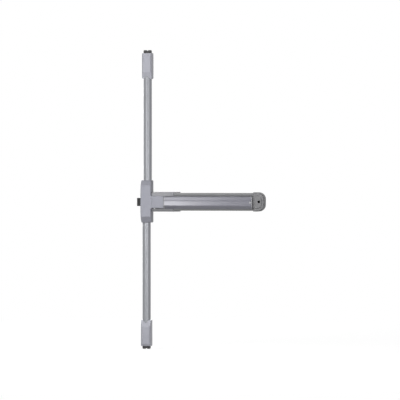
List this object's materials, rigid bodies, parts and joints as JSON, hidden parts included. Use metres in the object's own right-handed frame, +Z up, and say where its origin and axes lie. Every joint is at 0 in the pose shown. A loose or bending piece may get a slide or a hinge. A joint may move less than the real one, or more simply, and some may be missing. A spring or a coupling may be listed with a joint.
{
  "type": "multipoint panic lock",
  "caption": "Touch bar panic lock for the inside of a door: a push pad on a rail withdraws a side latch and, through a rack and pinion, a top and a bottom bolt on covered vertical rods.",
  "frame": {"origin": "on the door face, behind the pinion in the middle of the centre case", "axes": "+X along the push bar away from the latch, +Z up along the rods, +Y into the door; the user stands at -Y"},
  "size_m": [0.4916, 0.0623, 1.1324],
  "materials": {
    "case_paint": "fine silver-grey lacquer",
    "anodised": "satin anodised",
    "cap_paint": "darker grey lacquer",
    "black_bolt": "black",
    "steel": "zinc plated",
    "dark_steel": "black oxide",
    "moulding": "black moulded",
    "grey_moulding": "grey moulded"
  },
  "bodies": {
    "frame": {"bar_guides": "moulding", "bottom_bolt_guide": "moulding", "bottom_case_base": "steel", "bottom_case_cover": "case_paint", "bottom_case_screws": "steel", "bracket_screws": "steel", "case_base_plate": "steel", "case_cover": "case_paint", "cover_screws": "steel", "crank_bracket_far": "steel", "crank_bracket_near": "steel", "crank_pivot_pins": "steel", "end_bracket": "steel", "end_cap": "cap_paint", "end_cap_screws": "steel", "guide_studs": "steel", "latch_guide": "steel", "lower_return_spring": "dark_steel", "lower_rod_cover": "anodised", "lower_rod_guides": "moulding", "pinion_clip": "dark_steel", "pinion_shaft": "steel", "rail": "anodised", "rail_sleeve": "case_paint", "sleeve_screws": "steel", "top_bolt_guide": "moulding", "top_case_base": "steel", "top_case_cover": "case_paint", "top_case_screws": "steel", "upper_return_spring": "dark_steel", "upper_rod_cover": "anodised", "upper_rod_guides": "moulding"},
    "push_pad": {"push_pad": "anodised", "pad_end_plug_near": "grey_moulding", "pad_end_plug_far": "grey_moulding", "pad_button": "grey_moulding", "pad_lug_near": "steel", "pad_lug_far": "steel", "pad_lug_rivets": "steel"},
    "crank_near": {"crank_near": "steel", "crank_pins_near": "steel"},
    "crank_far": {"crank_far": "steel", "crank_pins_far": "steel"},
    "pull_bar": {"pull_bar": "steel"},
    "pinion": {"pinion": "steel"},
    "side_latch": {"side_latch": "black_bolt", "latch_pin": "steel"},
    "upper_rod": {"upper_rod_carrier": "steel", "upper_rod": "steel", "upper_rod_nut": "steel", "top_bolt": "black_bolt", "top_bolt_pin": "steel"},
    "lower_rod": {"lower_rod_carrier": "steel", "lower_rod": "steel", "lower_rod_nut": "steel", "bottom_bolt": "black_bolt", "bottom_bolt_pin": "steel"},
    "dog": {"dogging_screw": "dark_steel", "dog_cam": "steel"}
  },
  "joints": [
    {"name": "pad_press", "type": "slide", "parent": "frame", "child": "push_pad", "axis": [0, 1, 0], "range_m": [0, 0.013], "stiffness_N_per_m": 1500, "springref_m": -0.012},
    {"name": "crank_near_turn", "type": "hinge", "parent": "frame", "child": "crank_near", "pos_m": [0.125, -0.03565, 0], "axis": [0, 0, -1], "range_deg": [0, 44]},
    {"name": "crank_far_turn", "type": "hinge", "parent": "frame", "child": "crank_far", "pos_m": [0.33, -0.03565, 0], "axis": [0, 0, -1], "range_deg": [0, 44]},
    {"name": "pull_bar_slide", "type": "slide", "parent": "frame", "child": "pull_bar", "axis": [1, 0, 0], "range_m": [0, 0.018]},
    {"name": "pinion_turn", "type": "hinge", "parent": "frame", "child": "pinion", "pos_m": [0, 0, 0], "axis": [0, 1, 0], "range_deg": [0, 103.13]},
    {"name": "side_latch_slide", "type": "slide", "parent": "frame", "child": "side_latch", "axis": [1, 0, 0], "range_m": [0, 0.018]},
    {"name": "upper_rod_slide", "type": "slide", "parent": "frame", "child": "upper_rod", "axis": [0, 0, -1], "range_m": [0, 0.018], "deforming": ["upper_return_spring"]},
    {"name": "lower_rod_slide", "type": "slide", "parent": "frame", "child": "lower_rod", "axis": [0, 0, 1], "range_m": [0, 0.018], "deforming": ["lower_return_spring"]},
    {"name": "dog_turn", "type": "hinge", "parent": "frame", "child": "dog", "pos_m": [0.435, 0, 0], "axis": [0, 1, 0], "range_deg": [0, 90]}
  ],
  "couplings": [
    {"joint": "crank_near_turn", "follows": "pad_press", "rad_per_m": 59.073},
    {"joint": "crank_far_turn", "follows": "pad_press", "rad_per_m": 59.073},
    {"joint": "pull_bar_slide", "follows": "pad_press", "ratio": 1.3846},
    {"joint": "pinion_turn", "follows": "pad_press", "rad_per_m": 138.46},
    {"joint": "side_latch_slide", "follows": "pad_press", "ratio": 1.3846},
    {"joint": "upper_rod_slide", "follows": "pad_press", "ratio": 1.3846},
    {"joint": "lower_rod_slide", "follows": "pad_press", "ratio": 1.3846}
  ]
}
